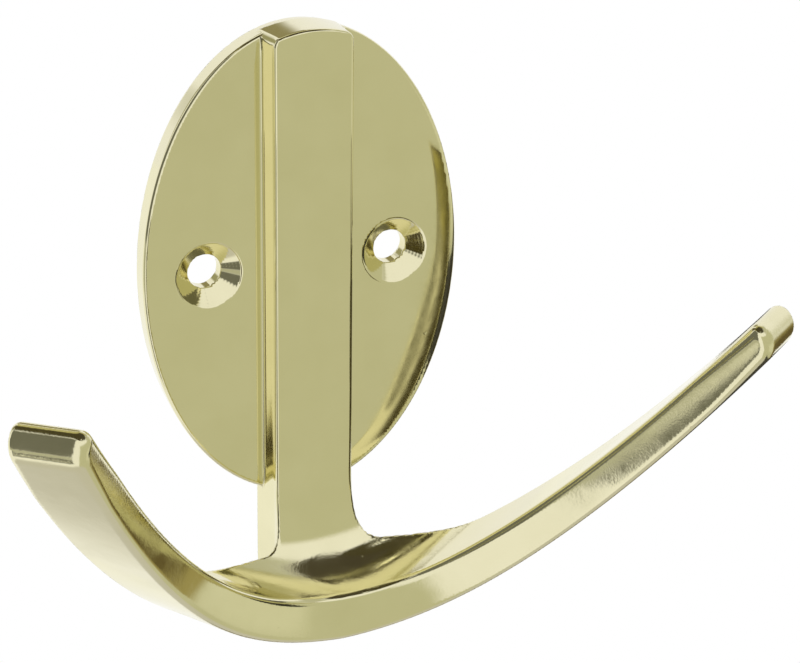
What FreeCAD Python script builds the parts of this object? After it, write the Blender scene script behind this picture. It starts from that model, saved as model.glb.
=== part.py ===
import FreeCAD, Part
import math
import os

V = FreeCAD.Vector

# Double robe hook, cast in one piece. Millimetres.
# X runs along the wall, +Y into the wall, +Z up; the plate's back lies on Y = 0
# and the origin is the middle of the oval. The hook's front faces -Y.

# Oval wall plate; the size is that of its front rim, and the side wall draws in towards the wall
plate_width = 41.6
plate_height = 61.6
plate_thick = 3.8
edge_draft = 0.3
crown_width = 3.0          # the face falls away gently over this rim width
crown_drop = 0.22
rim_round = 0.6

# Rib down the plate, going on below it as the stem
rib_proud = 3.7            # rib face above the plate's face
rib_half_face = 5.0        # half width at the rib's face
rib_half_foot = 5.4        # half width at the plate's face (draft)
stem_back = 1.4            # the stem stands this far off the wall

# Screw holes for a 4.2 mm flat-head wood screw, between the rib and the plate's edge
hole_lean = 0.75           # nearer to the rib than half way
hole_dia = 4.3
sink_dia = 8.65
sink_depth = 1.95

# Front top edge of the arms: a bow in plan that climbs outward
nose_out = 17.52           # front edge from the wall at the middle
bow = 0.0190               # plan curve, per mm
bow_ease = 1.32e-6
nose_drop = 39.9           # front edge below the plate's centre
climb = 0.0269             # rise, per mm
climb_ease = 0.93e-6
arm_end = 40.35            # station of the tips
tip_tilt = 0.7             # the tips are cut steeper than square to the path

# Strap section of the arms; the second values are at the station taper_at
strap_thick_mid = 6.0
strap_thick_tip = 4.2
strap_width_mid = 7.9
strap_width_tip = 9.3
taper_at = 42.0

# Slide from the stem's face into the saddle
slide_radius = 12.3
slide_fade = 19.0          # the slide's radius dies away over this distance
slide_least = 3.2
heel_radius = 6.0
flare_radius = 3.9         # stem side into the arms' back wall

# Softened edges
nose_round = 1.3           # top of the tips, in side view
chin_round = 2.3           # underside of the tips
crest_round = 0.9          # upright corners of the rib's crest
band_round = 1.0           # rims of the front band
back_round = 0.45          # rib, slide, heel and the arms' back rims

rib_face = plate_thick + rib_proud
hole_place = (rib_half_foot + plate_width / 2) / 2 - hole_lean
clear = plate_height + nose_drop                     # cutting tools reach past the casting
flare_end = rib_half_foot + 0.2 * flare_radius       # station where the flare meets the back wall


def edge_plan(t):
    return nose_out + bow * t**2 - bow_ease * t**4


def edge_rise(t):
    return -nose_drop + climb * t**2 - climb_ease * t**4


def plan_slope(t):
    return -(2 * bow * t - 4 * bow_ease * t**3)


def rise_slope(t):
    return 2 * climb * t - 4 * climb_ease * t**3


def front_top(t):
    return V(t, -edge_plan(t), edge_rise(t))


def level_normal(t):
    # level, square to the plan path, towards the wall
    s = plan_slope(t)
    return V(-s, 1, 0) * (1 / math.hypot(1, s))


def path_tangent(t):
    v = V(1, plan_slope(t), rise_slope(t))
    return v * (1 / v.Length)


def strap_thick(t):
    return strap_thick_mid + (strap_thick_tip - strap_thick_mid) * abs(t) / taper_at


def strap_width(t):
    return strap_width_mid + (strap_width_tip - strap_width_mid) * abs(t) / taper_at


def front_bottom(t):
    d = path_tangent(t)
    plan = math.hypot(d.x, d.y)
    down = V(d.x * d.z / plan, d.y * d.z / plan, -plan)
    return front_top(t) + down * strap_thick(t)


def spline(points):
    c = Part.BSplineCurve()
    c.interpolate(points)
    return c


def flat(p):
    return V(p.x, p.y, 0)


# Oval plate
def oval(shrink, y):
    # long axis upright, drawn flat and then stood up against the wall; it starts and ends at the foot
    e = Part.Ellipse(V(0, 0, 0), plate_height / 2 - shrink, plate_width / 2 - shrink)
    stand = FreeCAD.Matrix(0, -1, 0, 0, 0, 0, 1, y, -1, 0, 0, 0, 0, 0, 0, 1)
    return Part.Wire([e.toShape()]).transformGeometry(stand)


def ring_edges(solid, y):
    # edges lying wholly at one depth
    out = []
    for e in solid.Edges:
        m = e.valueAt((e.FirstParameter + e.LastParameter) / 2)
        if abs(m.y - y) < 1e-4 and all(abs(v.Y - y) < 1e-4 for v in e.Vertexes):
            out.append(e)
    return out


def plate():
    # drafted side wall, and a flat face that falls away towards a rounded rim
    shoulder = plate_thick - crown_drop
    body = Part.makeLoft([oval(edge_draft, 0), oval(0, -shoulder)], True, True)
    rings = []
    for i in range(5):
        f = i / 4.0
        rings.append(oval(crown_width * f, -plate_thick + crown_drop * (1 - f) ** 2))
    slab = body.fuse(Part.makeLoft(rings, True, False)).Solids[0]
    return slab.makeFillet(rim_round, ring_edges(slab, -shoulder))


def screw_hole(x):
    through = Part.makeCylinder(hole_dia / 2, 2 * plate_thick, V(x, plate_thick / 2, 0), V(0, -1, 0))
    slope = (sink_dia - hole_dia) / 2 / sink_depth
    mouth = Part.makeCone(hole_dia / 2, sink_dia / 2 + slope * sink_depth, 2 * sink_depth,
                          V(x, -(plate_thick - sink_depth), 0), V(0, -1, 0))
    return through.fuse(mouth)


# Rib and stem sides in plan, with the casting draft
def side_x(y):
    k = (rib_half_foot - rib_half_face) / rib_proud
    return rib_half_face + k * (y + rib_face)


# Plan outline of the saddle, stem and arms, as one closed wire
def back_point(t):
    return flat(front_top(t) + level_normal(t) * strap_width(t))


def back_tangent(t):
    d = back_point(t + 0.01) - back_point(t - 0.01)
    return d * (1 / d.Length)


def flare(sign):
    # the stem's side runs into the arms' back wall through a concave arc
    c, d = back_point(flare_end), back_tangent(flare_end)
    y0, y1 = -stem_back, c.y + flare_radius
    a = V(side_x(y0), y0, 0)
    b = V(side_x(y1), y1, 0)
    ab = (b - a) * (1 / (b - a).Length)
    reach = flare_radius * 0.46
    blend = Part.BezierCurve()
    blend.setPoles([b, b + ab * reach, c - d * reach, c])
    end = 1.1 * arm_end
    pts = [back_point(flare_end + (end - flare_end) * i / 8.0) for i in range(9)]
    wall = Part.BSplineCurve()
    wall.interpolate(Points=pts, InitialTangent=d, FinalTangent=back_tangent(end))
    edges = [Part.LineSegment(a, b).toShape(), blend.toShape(), wall.toShape()]
    if sign < 0:
        edges = [e.mirror(V(0, 0, 0), V(1, 0, 0)) for e in edges]
    return edges, V(sign * a.x, a.y, 0), V(sign * pts[-1].x, pts[-1].y, 0)


def plan_outline():
    right, ra, rb = flare(1)
    left, la, lb = flare(-1)
    end = 1.1 * arm_end
    front = spline([flat(front_top(-end + 2 * end * i / 12.0)) for i in range(13)]).toShape()
    f0, f1 = flat(front_top(-end)), flat(front_top(end))
    edges = right + left + [front, Part.LineSegment(ra, la).toShape(),
                            Part.LineSegment(rb, f1).toShape(), Part.LineSegment(lb, f0).toShape()]
    return Part.Wire(Part.__sortEdges__(edges))


# Top surface: level across the arms, climbing into the stem's face at the middle
def slide_size(t):
    return slide_least + (slide_radius - slide_least) * math.exp(-(abs(t) / slide_fade) ** 3.2)


def wall_reach(t):
    # from the front edge back to the plane of the stem's face
    exact = (edge_plan(t) - rib_face) / level_normal(t).y
    return min(exact, 1.16 * slide_radius)


def top_profile(t, f):
    # f runs from 0 in front of the edge to 1 where the slide turns upright
    r = slide_size(t)
    reach = wall_reach(t)
    lead = 0.3 * slide_radius
    flat_run = lead + reach - r
    total = flat_run + r * math.pi / 2
    s = f * total
    if s <= flat_run:
        w, z = s - lead, 0.0
    else:
        a = (s - flat_run) / r
        w, z = reach - r + r * math.sin(a), r * (1 - math.cos(a))
    p = front_top(t) + level_normal(t) * w
    return V(p.x, p.y, p.z + z)


steps = (0, 0.06, 0.12, 0.18, 0.25, 0.33, 0.43, 0.55, 0.7, 0.85, 1.0, 1.15)
stations = [f * arm_end for f in steps]


def top_tools():
    # one sheet over both arms, the saddle and the slide, and the rib's face above it
    rows = [-t for t in stations[:0:-1]] + stations
    s = Part.BSplineSurface()
    s.interpolate([[top_profile(t, j / 16.0) for j in range(17)] for t in rows])
    lid = s.toShape().extrude(V(0, -clear / 26, clear))
    brow = s.vIso(s.bounds()[3]).toShape()
    wall = brow.extrude(V(0, 0, clear)).extrude(V(0, -clear / 2, 0))
    near = Part.makeBox(3 * rib_half_foot, clear, 2 * clear, V(-1.5 * rib_half_foot, -clear, -nose_drop))
    return lid, wall.common(near)


def bottom_tool():
    rows = [-t for t in stations[:0:-1]] + stations
    grid = []
    for t in rows:
        b = front_bottom(t)
        n = level_normal(t)
        grid.append([b + n * nose_out * f for f in (-0.2, 0.15, 0.5, 0.85, 1.2)])
    s = Part.BSplineSurface()
    s.interpolate(grid)
    return s.toShape().extrude(V(0, 0, -clear))


def tip_normal():
    d = V(1, plan_slope(arm_end), tip_tilt * rise_slope(arm_end))
    return d * (1 / d.Length)


def tip_tool(sign):
    a, d = front_top(arm_end), tip_normal()
    box = Part.makeBox(clear, clear, clear / 2, V(-clear / 2, -clear / 2, 0))
    box.Placement = FreeCAD.Placement(V(sign * a.x, a.y, a.z),
                                      FreeCAD.Rotation(V(0, 0, 1), V(sign * d.x, d.y, d.z)))
    return box


# The rib's crest follows the oval
def crest_tool():
    shoulder = plate_thick - crown_drop
    column = Part.makeLoft([oval(edge_draft, 0), oval(0, -shoulder)], True, True)
    column = column.fuse(Part.Face(oval(0, -shoulder)).extrude(V(0, -2 * rib_face, 0)))
    box = Part.makeBox(4 * rib_half_foot, 1.6 * rib_face, plate_height,
                       V(-2 * rib_half_foot, -1.4 * rib_face, plate_height / 16))
    return box.cut(column)


def casting():
    low = nose_drop + 2 * strap_thick_mid
    body = Part.Face(plan_outline()).extrude(V(0, 0, low + 0.55 * plate_height))
    body.translate(V(0, 0, -low))
    lid, wall = top_tools()
    for tool in (lid, wall, bottom_tool(), tip_tool(1), tip_tool(-1)):
        body = body.cut(tool)
    return max(body.Solids, key=lambda s: s.Volume)


def face_at(solid, point):
    probe = Part.Vertex(point)
    return min(solid.Faces, key=lambda f: f.distToShape(probe)[0])


def shared(a, b):
    return [e for e in a.Edges if any(e.isSame(x) for x in b.Edges)]


def corner_edges(solid, face):
    # edges of a face where it meets its neighbour at a real corner
    out = []
    for e in face.Edges:
        p = e.valueAt((e.FirstParameter + e.LastParameter) / 2)
        normals = []
        for f in solid.Faces:
            if any(e.isSame(x) for x in f.Edges):
                u, v = f.Surface.parameter(p)
                normals.append(f.normalAt(u, v))
        if len(normals) == 2 and abs(math.degrees(normals[0].getAngle(normals[1]))) > 30:
            out.append(e)
    return out


def unique(edges):
    out = []
    for e in edges:
        if not any(e.isSame(x) for x in out):
            out.append(e)
    return out


def tip_edges(body, top):
    # the tips' edges across the strap, the upper or the lower pair
    n = level_normal(arm_end)
    middle = (front_top(arm_end) + front_bottom(0.97 * arm_end)) * 0.5 + n * (strap_width_tip / 2)
    out = []
    for sign in (1, -1):
        across = V(sign * n.x, n.y, 0)
        for e in face_at(body, V(sign * middle.x, middle.y, middle.z)).Edges:
            run = e.valueAt(e.LastParameter) - e.valueAt(e.FirstParameter)
            if abs(run.dot(across)) > 0.7 * run.Length and (e.CenterOfMass.z > middle.z) == top:
                out.append(e)
    return out


# Rounding: heel, tips and crest corners first, then the front band's rims, then all the rest
def softened(body):
    below = front_bottom(arm_end / 2) + level_normal(arm_end / 2) * (strap_width_mid / 2)
    behind = V(0, -stem_back, -nose_drop * 0.5)
    heel = shared(face_at(body, below), face_at(body, behind))
    body = body.makeFillet(heel_radius, heel)
    body = body.makeFillet(nose_round, tip_edges(body, True))
    body = body.makeFillet(chin_round, tip_edges(body, False))
    body = body.cut(crest_tool())
    crest = face_at(body, V(0, -plate_thick - rib_proud / 2, plate_height / 2))
    body = body.makeFillet(crest_round, [e for e in crest.Edges if e.BoundBox.YLength > rib_proud / 2])

    band = face_at(body, V(0, -nose_out, -nose_drop - strap_thick_mid / 2))
    body = body.makeFillet(band_round, band.Edges)

    saddle = V(0, -rib_face - slide_radius * 0.3, -nose_drop + slide_radius * 0.29)
    edges = []
    for point in (saddle, V(0, -rib_face, 0), below, behind):
        edges += corner_edges(body, face_at(body, point))
    return body.makeFillet(back_round, unique(edges))


def hook():
    body = softened(casting()).fuse(plate()).removeSplitter().Solids[0]
    for x in (-hole_place, hole_place):
        body = body.cut(screw_hole(x))
    return body.Solids[0]


os.makedirs("parts", exist_ok=True)
hook().exportStep("parts/robe_hook.step")
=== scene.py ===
import math

import bpy
import numpy as np
from mathutils import Matrix, Vector

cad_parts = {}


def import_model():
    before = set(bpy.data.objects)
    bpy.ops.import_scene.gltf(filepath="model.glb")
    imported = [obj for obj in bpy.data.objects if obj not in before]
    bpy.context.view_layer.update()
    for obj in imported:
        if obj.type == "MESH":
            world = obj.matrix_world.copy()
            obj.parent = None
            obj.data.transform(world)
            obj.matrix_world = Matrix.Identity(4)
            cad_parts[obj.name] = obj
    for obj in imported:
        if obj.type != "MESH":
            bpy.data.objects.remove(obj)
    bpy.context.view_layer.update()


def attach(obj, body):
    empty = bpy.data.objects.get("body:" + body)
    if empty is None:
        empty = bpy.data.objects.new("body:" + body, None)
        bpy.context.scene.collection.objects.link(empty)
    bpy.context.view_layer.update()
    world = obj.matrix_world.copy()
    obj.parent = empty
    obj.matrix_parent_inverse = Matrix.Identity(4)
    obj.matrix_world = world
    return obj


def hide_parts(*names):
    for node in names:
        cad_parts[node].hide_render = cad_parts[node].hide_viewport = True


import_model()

# Driving dimensions of the casting, in millimetres
PLATE_WIDTH, PLATE_HEIGHT, PLATE_THICK, EDGE_DRAFT = 41.6, 61.6, 3.8, 0.3
CROWN_WIDTH, CROWN_DROP, RIM_ROUND = 3.0, 0.22, 0.6
HOLE_PLACE, HOLE_DIA, SINK_DIA, SINK_DEPTH = 12.35, 4.3, 8.65, 1.95
RIB_PROUD, RIB_HALF_FACE, RIB_HALF_FOOT, STEM_BACK = 3.7, 5.0, 5.4, 1.4
NOSE_OUT, BOW, BOW_EASE = 17.52, 0.0190, 1.32e-6
NOSE_DROP, CLIMB, CLIMB_EASE = 39.9, 0.0269, 0.93e-6
ARM_END, TIP_TILT = 40.5, 0.7
THICK_MID, THICK_TIP, WIDTH_MID, WIDTH_TIP, TAPER_AT = 6.0, 4.2, 7.9, 9.3, 42
SLIDE_RADIUS, SLIDE_FADE, SLIDE_LEAST = 12.3, 19.0, 3.2
HEEL_RADIUS, FLARE_RADIUS = 6.0, 3.9
NOSE_ROUND, CHIN_ROUND, BAND_ROUND, BACK_ROUND, CREST_ROUND = 1.9, 2.6, 1.0, 0.55, 0.9
ROOT_FILLET, ROOT_FADE, PLATE_EDGE, SINK_EDGE = 0.3, 1.5, 0.25, 0.2
RIB_FACE = PLATE_THICK + RIB_PROUD

# What the polishing adds: a crowned band, a domed end face, and softer edges over each arm's last part
BAND_CROWN, TIP_DOME, TIP_SOFTER, SOFTER_LENGTH = 0.11, 0.05, 0.9, 5

# Corners are arcs at exponent 2; above that they ease into the flats
ARC, EASED = 2.0, 2.4

# Stations along the arms are looked for a little past the tips
LAST_STATION = ARM_END + 12
FAR_INSIDE = -20.0

# Mesh: size of a cell, cells to a coarse block, and the box that holds the casting
CELL = 0.35
BLOCK = 8
BOX_LOW, BOX_HIGH = np.array([-52.0, -50.0, -48.0]), np.array([52.0, 2.0, 33.0])


# Signed distances: negative inside the metal
def meet(a, b, r, ease=EASED):
    # both at once, with the corner rounded by about r
    u, v = np.maximum(a + r, 0), np.maximum(b + r, 0)
    return np.minimum(np.maximum(a, b), -r) + (u**ease + v**ease) ** (1 / ease)


def join(a, b, r):
    # either one, with the inner corner filled to radius r
    return -meet(-a, -b, r)


def edge_plan(t):
    return NOSE_OUT + BOW * t**2 - BOW_EASE * t**4


def edge_rise(t):
    return -NOSE_DROP + CLIMB * t**2 - CLIMB_EASE * t**4


def plan_slope(t):
    return -(2 * BOW * t - 4 * BOW_EASE * t**3)


def rise_slope(t):
    return 2 * CLIMB * t - 4 * CLIMB_EASE * t**3


def oval_distance(x, z, half_x, half_z):
    k = np.sqrt((x / half_x) ** 2 + (z / half_z) ** 2) + 1e-9
    g = np.sqrt((x / half_x**2) ** 2 + (z / half_z**2) ** 2) + 1e-9
    return k * (k - 1) / g


def plan_station(x, y):
    # station whose level normal passes over the point, by Newton's method
    t = x / (1 + 2 * BOW * np.clip(y + edge_plan(x), 0, 20))
    for _ in range(5):
        s = plan_slope(t)
        bend = -(2 * BOW - 12 * BOW_EASE * t**2)
        off = y + edge_plan(t)
        t = t - ((x - t) + off * s) / np.minimum(-1 - s**2 + off * bend, -0.3)
    return np.clip(t, 0, LAST_STATION)


def strap_station(x, y, z, t):
    # station whose cross-section passes through the point
    for _ in range(6):
        s, c = plan_slope(t), rise_slope(t)
        bend = -(2 * BOW - 12 * BOW_EASE * t**2)
        lift = 2 * CLIMB - 12 * CLIMB_EASE * t**2
        off, up = y + edge_plan(t), z - edge_rise(t)
        steep = -1 - s**2 - c**2 + off * bend + up * lift
        t = t - ((x - t) + off * s + up * c) / np.minimum(steep, -0.3)
    return np.clip(t, 0, LAST_STATION)


def hook_field(x, y, z):
    # right half; w is the depth behind the band's front, h the height above its upper edge
    t = plan_station(x, y)
    s = plan_slope(t)
    speed = np.sqrt(1 + s**2)
    w = (-(x - t) * s + (y + edge_plan(t))) / speed

    back = w - (WIDTH_MID + (WIDTH_TIP - WIDTH_MID) * t / TAPER_AT)
    draft = (RIB_HALF_FOOT - RIB_HALF_FACE) / RIB_PROUD
    side = (x - RIB_HALF_FACE - draft * (y + RIB_FACE)) / math.hypot(1, draft)
    rear = join(back, side, FLARE_RADIUS)
    crest = oval_distance(x, z, PLATE_WIDTH / 2, PLATE_HEIGHT / 2)
    crest = np.where((z > 0) & (y > -RIB_FACE - 3), crest, FAR_INSIDE)
    rear = meet(rear, crest, CREST_ROUND)

    end = np.array([1, plan_slope(ARM_END), TIP_TILT * rise_slope(ARM_END)])
    end = end / np.linalg.norm(end)
    tip = ((x - ARM_END) * end[0] + (y + edge_plan(ARM_END)) * end[1]
           + (z - edge_rise(ARM_END)) * end[2])

    bend = (2 * BOW - 12 * BOW_EASE * t**2) / speed**3
    slope = rise_slope(t) / (speed * np.maximum(1 + bend * w, 0.3))
    top = (z - edge_rise(t)) / np.sqrt(1 + slope**2)
    slide = SLIDE_LEAST + (SLIDE_RADIUS - SLIDE_LEAST) * np.exp(-(t / SLIDE_FADE) ** 3.2)
    upper = join(top, -RIB_FACE - y, slide)

    zc = np.minimum(z, edge_rise(t) + 0.3)
    q = strap_station(x, y, zc, t)
    s, c = plan_slope(q), rise_slope(q)
    speed = np.sqrt(1 + s**2)
    length = np.sqrt(1 + s**2 + c**2)
    h = (-(x - q) * c / speed - (y + edge_plan(q)) * s * c / speed
         + (zc - edge_rise(q)) * speed) / length
    thick = THICK_MID + (THICK_TIP - THICK_MID) * q / TAPER_AT
    bottom = -h - thick
    front = -w + BAND_CROWN * np.clip(-2 * h / thick - 1, -1.3, 1.3) ** 2
    lower = meet(bottom, y + STEM_BACK, HEEL_RADIUS)
    tip = tip + TIP_DOME * np.clip(h + thick / 2, -3, 3) ** 2
    over, under = meet(upper, tip, NOSE_ROUND, ARC), meet(lower, tip, CHIN_ROUND, ARC)
    softer = TIP_SOFTER * np.clip((q - ARM_END + SOFTER_LENGTH) / SOFTER_LENGTH, 0, 1)
    band, rims = BAND_ROUND + softer, BACK_ROUND + softer
    return np.maximum(meet(meet(front, over, band), under, band),
                      meet(meet(rear, over, rims), under, rims))


def plate_field(x, y, z):
    grow = EDGE_DRAFT * np.clip(-y / PLATE_THICK, 0, 1)
    rim = oval_distance(x, z, PLATE_WIDTH / 2 - EDGE_DRAFT + grow,
                        PLATE_HEIGHT / 2 - EDGE_DRAFT + grow)
    inward = np.clip(-oval_distance(x, z, PLATE_WIDTH / 2, PLATE_HEIGHT / 2), 0, CROWN_WIDTH)
    face = -PLATE_THICK + CROWN_DROP * (1 - inward / CROWN_WIDTH) ** 2
    return meet(meet(rim, face - y, RIM_ROUND), y, PLATE_EDGE)


def hole_field(x, y, z):
    r = np.hypot(x - HOLE_PLACE, z)
    slope = (SINK_DIA - HOLE_DIA) / 2 / SINK_DEPTH
    cone = (r - HOLE_DIA / 2 - slope * (-y - PLATE_THICK + SINK_DEPTH)) / math.hypot(1, slope)
    return np.minimum(r - HOLE_DIA / 2, np.maximum(cone, -y - PLATE_THICK - 1))


def field(p):
    # the fillet between rib and plate dies away towards the plate's rim
    x, y, z = np.abs(p[:, 0]), p[:, 1], p[:, 2]
    rim = oval_distance(x, z, PLATE_WIDTH / 2, PLATE_HEIGHT / 2)
    root = ROOT_FILLET * np.clip(-rim / ROOT_FADE, 0.03, 1)
    body = join(hook_field(x, y, z), plate_field(x, y, z), root)
    return meet(body, -hole_field(x, y, z), SINK_EDGE)


def field_by_parts(p):
    return np.concatenate([field(p[i:i + 400000]) for i in range(0, len(p), 400000)])


def slope_of(p, h=0.02):
    g = np.empty_like(p)
    for axis in range(3):
        step = np.zeros(3)
        step[axis] = h
        g[:, axis] = (field_by_parts(p + step) - field_by_parts(p - step)) / (2 * h)
    return g


# Surface of the metal as quads of about one cell
def sampled_grid(low, high):
    # coarse blocks first, then every point of the blocks near the surface
    n = np.ceil((high - low) / (CELL * BLOCK)).astype(int) * BLOCK + 1
    axes = [low[i] + CELL * np.arange(n[i]) for i in range(3)]
    coarse_axes = [a[:-1].reshape(-1, BLOCK).mean(1) + CELL / 2 for a in axes]
    grid = np.stack(np.meshgrid(*coarse_axes, indexing="ij"), -1).reshape(-1, 3)
    coarse = field_by_parts(grid).reshape([len(a) for a in coarse_axes])

    def spread(blocks):
        fine = blocks.repeat(BLOCK, 0).repeat(BLOCK, 1).repeat(BLOCK, 2)
        return np.pad(fine, ((0, 1), (0, 1), (0, 1)), mode="edge")

    value, mask = spread(coarse), spread(np.abs(coarse) < CELL * BLOCK * 1.3)
    grown = mask.copy()
    for axis in range(3):
        grown |= np.roll(mask, 1, axis)
    idx = np.argwhere(grown)
    value[tuple(idx.T)] = field_by_parts(low + CELL * idx)
    return value


def surface_net(value, low):
    # one corner in each cell that the surface crosses, one quad for each crossed edge of the grid
    shape = np.array(value.shape)

    def cell_id(i):
        return (i[:, 0] * shape[1] + i[:, 1]) * shape[2] + i[:, 2]

    inside = value < 0
    crossings, quads = [], []
    for axis in range(3):
        u, v = (axis + 1) % 3, (axis + 2) % 3
        here = np.take(inside, range(shape[axis] - 1), axis)
        there = np.take(inside, range(1, shape[axis]), axis)
        i = np.argwhere(here != there)
        step = np.eye(3, dtype=int)
        a, b = value[tuple(i.T)], value[tuple((i + step[axis]).T)]
        cross = i.astype(float)
        cross[:, axis] += a / (a - b)
        ring = [i, i - step[u], i - step[u] - step[v], i - step[v]]
        ids = np.stack([cell_id(r) for r in ring], 1)
        for k in range(4):
            crossings.append(np.column_stack([ids[:, k], cross]))
        flip = inside[tuple(i.T)]
        quads.append(np.where(flip[:, None], ids, ids[:, ::-1]))
    crossings = np.concatenate(crossings)
    quads = np.concatenate(quads)
    used, index = np.unique(crossings[:, 0].astype(np.int64), return_inverse=True)
    count = np.bincount(index)
    verts = np.stack([np.bincount(index, crossings[:, k + 1]) / count for k in range(3)], 1)
    return low + CELL * verts, np.searchsorted(used, quads)


def settled(verts, quads):
    # even out the quads and pull every corner onto the surface
    pairs = np.concatenate([quads[:, [k, (k + 1) % 4]] for k in range(4)])
    count = np.bincount(pairs[:, 0], minlength=len(verts))
    for turn in range(4):
        if turn < 3:
            total = [np.bincount(pairs[:, 0], verts[pairs[:, 1], k], len(verts)) for k in range(3)]
            verts = verts + 0.5 * (np.stack(total, 1) / count[:, None] - verts)
        for _ in range(2):
            g = slope_of(verts)
            d = field_by_parts(verts)
            verts = verts - g * (d / np.maximum((g**2).sum(1), 0.2))[:, None]
    g = slope_of(verts)
    return verts, g / np.linalg.norm(g, axis=1, keepdims=True)


def casting():
    verts, quads = surface_net(sampled_grid(BOX_LOW, BOX_HIGH), BOX_LOW)
    verts, normals = settled(verts, quads)
    mesh = bpy.data.meshes.new("hook_casting")
    mesh.from_pydata((verts / 1000).tolist(), [], quads.tolist())
    mesh.update()
    mesh.shade_smooth()
    mesh.normals_split_custom_set_from_vertices(normals.tolist())
    piece = bpy.data.objects.new("hook_casting", mesh)
    bpy.context.collection.objects.link(piece)
    return piece


# Polished brass: its colours, the heights of its fine relief, the step of the turning marks, and
# where the cast grain comes in, by height and by distance from the middle; all lengths in metres
CLEAN, STAINED = (0.84, 0.795, 0.505, 1), (0.81, 0.765, 0.475, 1)
RIPPLE, GRAIN, PIT = 0.0000040, 0.0000110, -0.000012
TURNING, TURNING_STEP = 0.0000006, 0.00034
GRAIN_BELOW, GRAIN_BEYOND = (-0.030, -0.037), (0.020, 0.030)
SINK_MIDDLE, SINK_RIM, SINK_FLOOR = HOLE_PLACE / 1000, SINK_DIA / 2000, -0.0022


def node(tree, kind, **inputs):
    n = tree.nodes.new(kind)
    for key, value in inputs.items():
        if isinstance(value, bpy.types.NodeSocket):
            tree.links.new(value, n.inputs[key])
        else:
            n.inputs[key].default_value = value
    return n


def maths(tree, kind, a, b=None, clamp=False):
    n = tree.nodes.new("ShaderNodeMath")
    n.operation = kind
    n.use_clamp = clamp
    for socket, value in zip(n.inputs, (a, b)):
        if isinstance(value, bpy.types.NodeSocket):
            tree.links.new(value, socket)
        elif value is not None:
            socket.default_value = value
    return n.outputs[0]


def ramp(tree, value, low, high, out_low=0.0, out_high=1.0):
    n = node(tree, "ShaderNodeMapRange", Value=value)
    limits = {"From Min": low, "From Max": high, "To Min": out_low, "To Max": out_high}
    for key, number in limits.items():
        n.inputs[key].default_value = number
    return n.outputs[0]


def brass():
    m = bpy.data.materials.new("polished_brass")
    m.use_nodes = True
    t = m.node_tree
    shader = t.nodes["Principled BSDF"]
    shader.inputs["Metallic"].default_value = 1.0
    place = t.nodes.new("ShaderNodeTexCoord").outputs["Object"]
    x, y, z = node(t, "ShaderNodeSeparateXYZ", Vector=place).outputs

    # faint handling stains in colour and sheen
    stain = node(t, "ShaderNodeTexNoise", Vector=place, Scale=140.0, Detail=4.0).outputs[0]
    tint = t.nodes.new("ShaderNodeMix")
    tint.data_type = "RGBA"
    t.links.new(ramp(t, stain, 0.35, 0.7), tint.inputs[0])
    tint.inputs[6].default_value = CLEAN
    tint.inputs[7].default_value = STAINED
    t.links.new(tint.outputs[2], shader.inputs["Base Color"])
    fine = node(t, "ShaderNodeTexNoise", Vector=place, Scale=900.0, Detail=3.0).outputs[0]
    sheen = maths(t, "ADD", ramp(t, fine, 0.2, 0.8, 0.03, 0.08),
                  ramp(t, stain, 0.3, 0.75, 0.0, 0.05))

    # cast grain that the polishing left in the saddle and along the arms
    low = ramp(t, z, *GRAIN_BELOW)
    far = ramp(t, maths(t, "ABSOLUTE", x), *GRAIN_BEYOND)
    patches = node(t, "ShaderNodeTexNoise", Vector=place, Scale=220.0, Detail=2.0).outputs[0]
    patchy = ramp(t, patches, 0.42, 0.62)
    where = maths(t, "MULTIPLY", maths(t, "MAXIMUM", low, far), maths(t, "ADD", patchy, 0.25),
                  clamp=True)
    grain = node(t, "ShaderNodeTexNoise", Vector=place, Scale=3200.0, Detail=2.0).outputs[0]
    sheen = maths(t, "ADD", sheen, maths(t, "MULTIPLY", where, 0.07))
    t.links.new(sheen, shader.inputs["Roughness"])

    # sparse pits
    cells = node(t, "ShaderNodeTexVoronoi", Vector=place, Scale=420.0)
    draw = node(t, "ShaderNodeSeparateXYZ", Vector=cells.outputs["Color"]).outputs[0]
    chosen = ramp(t, draw, 0.93, 0.95)
    pits = maths(t, "MULTIPLY", ramp(t, cells.outputs["Distance"], 0.06, 0.10, 1.0, 0.0), chosen)

    # turning marks in the countersinks
    across = maths(t, "SUBTRACT", maths(t, "ABSOLUTE", x), SINK_MIDDLE)
    square = maths(t, "ADD", maths(t, "MULTIPLY", across, across), maths(t, "MULTIPLY", z, z))
    radius = maths(t, "SQRT", square)
    rings = maths(t, "SINE", maths(t, "MULTIPLY", radius, 2 * math.pi / TURNING_STEP))
    in_sink = maths(t, "MULTIPLY", ramp(t, radius, SINK_RIM - 0.0002, SINK_RIM, 1.0, 0.0),
                    ramp(t, y, SINK_FLOOR, SINK_FLOOR + 0.0002, 1.0, 0.35))

    ripple = node(t, "ShaderNodeTexNoise", Vector=place, Scale=260.0, Detail=1.0).outputs[0]
    height = maths(t, "MULTIPLY", ripple, RIPPLE)
    for marks, deep in ((maths(t, "MULTIPLY", grain, where), GRAIN), (pits, PIT),
                        (maths(t, "MULTIPLY", rings, in_sink), TURNING)):
        height = maths(t, "ADD", height, maths(t, "MULTIPLY", marks, deep))
    bump = node(t, "ShaderNodeBump", Height=height, Strength=1.0, Distance=1.0)
    t.links.new(bump.outputs[0], shader.inputs["Normal"])
    return m


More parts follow.
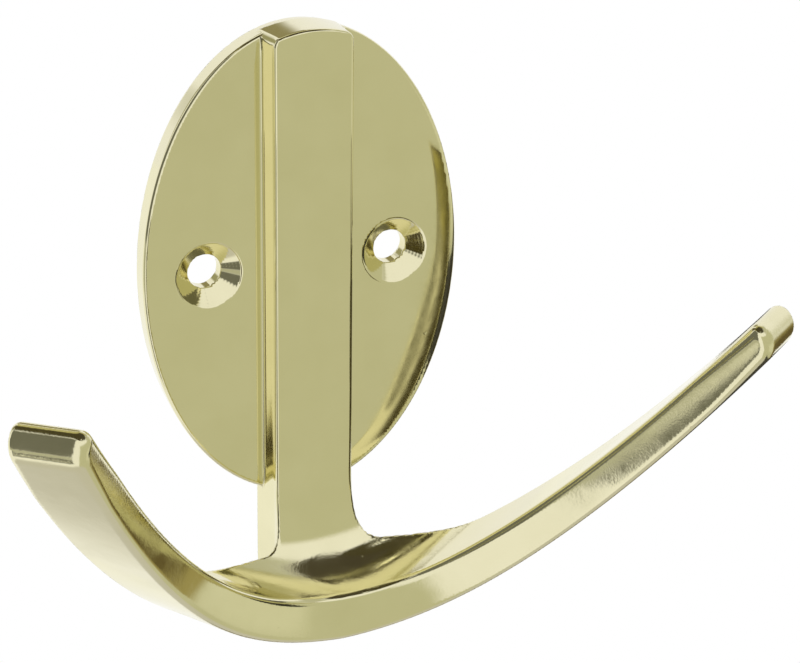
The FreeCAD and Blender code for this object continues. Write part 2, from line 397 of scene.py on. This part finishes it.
# Studio: white all round, with softer and darker parts that the polished metal mirrors.
# Every tone: its colour, then its azimuth from the front and its height, each as from, to and
# soft width, in degrees. The borders drift to and fro by up to half of DRIFT.
BRIGHT = (0.97, 0.97, 1.03, 1)
DRIFT = 14.0
TONES = (
    # ahead and to the right, down to the floor
    ((0.58, 0.58, 0.45), (-21, 104, 5, -95, 36, 4)),
    ((0.70, 0.70, 0.58), (44, 98, 6, -32, -4, 4)),
    # high on the right, and high behind
    ((0.55, 0.55, 0.46), (62, 128, 6, 36, 56, 4)),
    ((0.50, 0.46, 0.22), (112, 200, 4, 46, 72, 3)),
    ((0.55, 0.51, 0.24), (-200, -110, 4, 54, 72, 3)),
    # straight down
    ((0.62, 0.61, 0.62), (-200, 200, 1, -95, -58, 5)),
    # left: dark, with a grey strip low down and a bright upright one
    ((0.17, 0.17, 0.15), (-122, -57, 2, -12, 60, 3)),
    ((0.50, 0.50, 0.42), (-122, -57, 2, -23, -12, 2)),
    ((0.17, 0.17, 0.15), (-90, -57, 2, -44, -23, 2)),
    ((0.85, 0.85, 0.80), (-70, -66, 1, -40, -20, 3)),
    # low behind on the right: brown
    ((0.36, 0.31, 0.13), (97, 165, 2, -60, -8, 3)),
    ((0.13, 0.10, 0.04), (105, 165, 2, -60, -8, 3)),
    # behind: olive patches
    ((0.36, 0.35, 0.22), (-163, -142, 3, 4, 25, 4)),
    ((0.30, 0.27, 0.15), (157, 184, 3, 21, 42, 2)),
    ((0.13, 0.11, 0.05), (-166, -132, 4, 27, 68, 3)),
    # overhead: dark, with one small lamp
    ((0.07, 0.06, 0.03), (-200, 200, 1, 63, 95, 1.5)),
    ((0.07, 0.06, 0.04), (38, 165, 3, 57, 95, 1.5)),
    ((1.60, 1.60, 1.60), (-6, 12, 2, 69, 73, 1)),
)


def between(tree, value, low, high, soft):
    # one from low to high, with soft ends
    up = tree.nodes.new("ShaderNodeMapRange")
    up.interpolation_type = "SMOOTHSTEP"
    tree.links.new(value, up.inputs["Value"])
    up.inputs["From Min"].default_value = low - soft
    up.inputs["From Max"].default_value = low + soft
    down = tree.nodes.new("ShaderNodeMapRange")
    down.interpolation_type = "SMOOTHSTEP"
    tree.links.new(value, down.inputs["Value"])
    down.inputs["From Min"].default_value = high - soft
    down.inputs["From Max"].default_value = high + soft
    down.inputs["To Min"].default_value = 1.0
    down.inputs["To Max"].default_value = 0.0
    return maths(tree, "MULTIPLY", up.outputs[0], down.outputs[0])


def world():
    w = bpy.data.worlds.new("studio")
    bpy.context.scene.world = w
    w.use_nodes = True
    t = w.node_tree
    out = t.nodes["World Output"]
    direction = t.nodes.new("ShaderNodeTexCoord").outputs["Generated"]
    x, y, z = node(t, "ShaderNodeSeparateXYZ", Vector=direction).outputs
    turn = maths(t, "ARCTAN2", x, maths(t, "MULTIPLY", y, -1.0))
    around = maths(t, "MULTIPLY", turn, 180 / math.pi)
    height = maths(t, "MULTIPLY", maths(t, "ARCSINE", z), 180 / math.pi)
    drift = node(t, "ShaderNodeTexNoise", Vector=direction, Scale=3.5, Detail=2.0)
    aside = maths(t, "SUBTRACT", drift.outputs[0], 0.5)
    around = maths(t, "ADD", around, maths(t, "MULTIPLY", aside, DRIFT))

    color = None
    for tone, (a0, a1, asoft, e0, e1, esoft) in TONES:
        mix = t.nodes.new("ShaderNodeMix")
        mix.data_type = "RGBA"
        where = maths(t, "MULTIPLY", between(t, around, a0, a1, asoft),
                      between(t, height, e0, e1, esoft))
        t.links.new(where, mix.inputs[0])
        if color is None:
            mix.inputs[6].default_value = BRIGHT
        else:
            t.links.new(color, mix.inputs[6])
        mix.inputs[7].default_value = (*tone, 1)
        color = mix.outputs[2]

    # the camera sees plain white
    studio = node(t, "ShaderNodeBackground", Color=color, Strength=1.0)
    white = node(t, "ShaderNodeBackground", Color=(1, 1, 1, 1), Strength=1.0)
    path = t.nodes.new("ShaderNodeLightPath")
    mix = t.nodes.new("ShaderNodeMixShader")
    t.links.new(path.outputs["Is Camera Ray"], mix.inputs[0])
    t.links.new(studio.outputs[0], mix.inputs[1])
    t.links.new(white.outputs[0], mix.inputs[2])
    t.links.new(mix.outputs[0], out.inputs["Surface"])


# Stage, in metres
FLOOR_RADIUS, FLOOR_CENTRE, FLOOR_HEIGHT, FLOOR_SIDES = 1.3, 1.45, -0.25, 64
CARD_SIDE, CARD_REACH, CARD_FOOT, CARD_TOP, CARD_TOP_FRONT = 0.06, -0.075, -0.05, -0.002, -0.036


def stage_object(name, points):
    mesh = bpy.data.meshes.new(name)
    mesh.from_pydata(points, [], [tuple(range(len(points)))])
    o = bpy.data.objects.new(name, mesh)
    bpy.context.collection.objects.link(o)
    return o


def floor():
    # white to the camera and in mirror images; the light that it gives back keeps the hook's shadow
    o = stage_object("floor", [
        (FLOOR_RADIUS * math.cos(a), FLOOR_CENTRE + FLOOR_RADIUS * math.sin(a), FLOOR_HEIGHT)
        for a in np.linspace(0, 2 * math.pi, FLOOR_SIDES + 1)[:-1]])
    m = bpy.data.materials.new("pale_floor")
    m.use_nodes = True
    t = m.node_tree
    plain = t.nodes["Principled BSDF"]
    plain.inputs["Base Color"].default_value = (0.9, 0.9, 0.9, 1)
    glow = node(t, "ShaderNodeEmission", Color=(1, 1, 1, 1), Strength=1.0)
    path = t.nodes.new("ShaderNodeLightPath")
    seen = maths(t, "MAXIMUM", path.outputs["Is Camera Ray"],
                maths(t, "MAXIMUM", path.outputs["Is Glossy Ray"], path.outputs["Is Transmission Ray"]))
    mix = t.nodes.new("ShaderNodeMixShader")
    t.links.new(seen, mix.inputs[0])
    t.links.new(plain.outputs[0], mix.inputs[1])
    t.links.new(glow.outputs[0], mix.inputs[2])
    t.links.new(mix.outputs[0], t.nodes["Material Output"].inputs["Surface"])
    o.data.materials.append(m)


def dark_card():
    # beside the right arm; only the metal sees it, mostly the plate's right rim
    o = stage_object("dark_card", [
        (CARD_SIDE, CARD_REACH, CARD_FOOT), (CARD_SIDE, 0, CARD_FOOT),
        (CARD_SIDE, 0, CARD_TOP), (CARD_SIDE, CARD_REACH, CARD_TOP_FRONT)])
    m = bpy.data.materials.new("dark_card")
    m.use_nodes = True
    shader = m.node_tree.nodes["Principled BSDF"]
    shader.inputs["Base Color"].default_value = (0.03, 0.026, 0.015, 1)
    o.data.materials.append(m)
    o.visible_camera = False
    o.visible_shadow = False
    o.visible_diffuse = False


# Camera: from the left and above, aimed to the right of the plate's middle and below it, in metres
TURN, LIFT, ROLL = math.radians(23.71), math.radians(21.7), math.radians(0.75)
AIM_RIGHT, AIM_UP, DISTANCE = 0.0135525, -0.0095675, 0.350
LENS, SENSOR = 126, 36


def camera():
    back = Vector((-math.sin(TURN) * math.cos(LIFT), -math.cos(TURN) * math.cos(LIFT), math.sin(LIFT)))
    level = Vector((math.cos(TURN), -math.sin(TURN), 0))
    above = back.cross(level)
    right = math.cos(ROLL) * level + math.sin(ROLL) * above
    up = -math.sin(ROLL) * level + math.cos(ROLL) * above
    eye = AIM_RIGHT * level + AIM_UP * above + DISTANCE * back
    data = bpy.data.cameras.new("camera")
    data.sensor_width = SENSOR
    data.lens = LENS
    data.clip_start = 0.01
    o = bpy.data.objects.new("camera", data)
    o.matrix_world = Matrix((
        (right.x, up.x, back.x, eye.x),
        (right.y, up.y, back.y, eye.y),
        (right.z, up.z, back.z, eye.z),
        (0, 0, 0, 1)))
    bpy.context.collection.objects.link(o)
    bpy.context.scene.camera = o


piece = casting()
piece.data.materials.append(brass())
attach(piece, "root")
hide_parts("robe_hook")
world()
floor()
dark_card()
camera()
bpy.context.scene.view_settings.view_transform = "Standard"
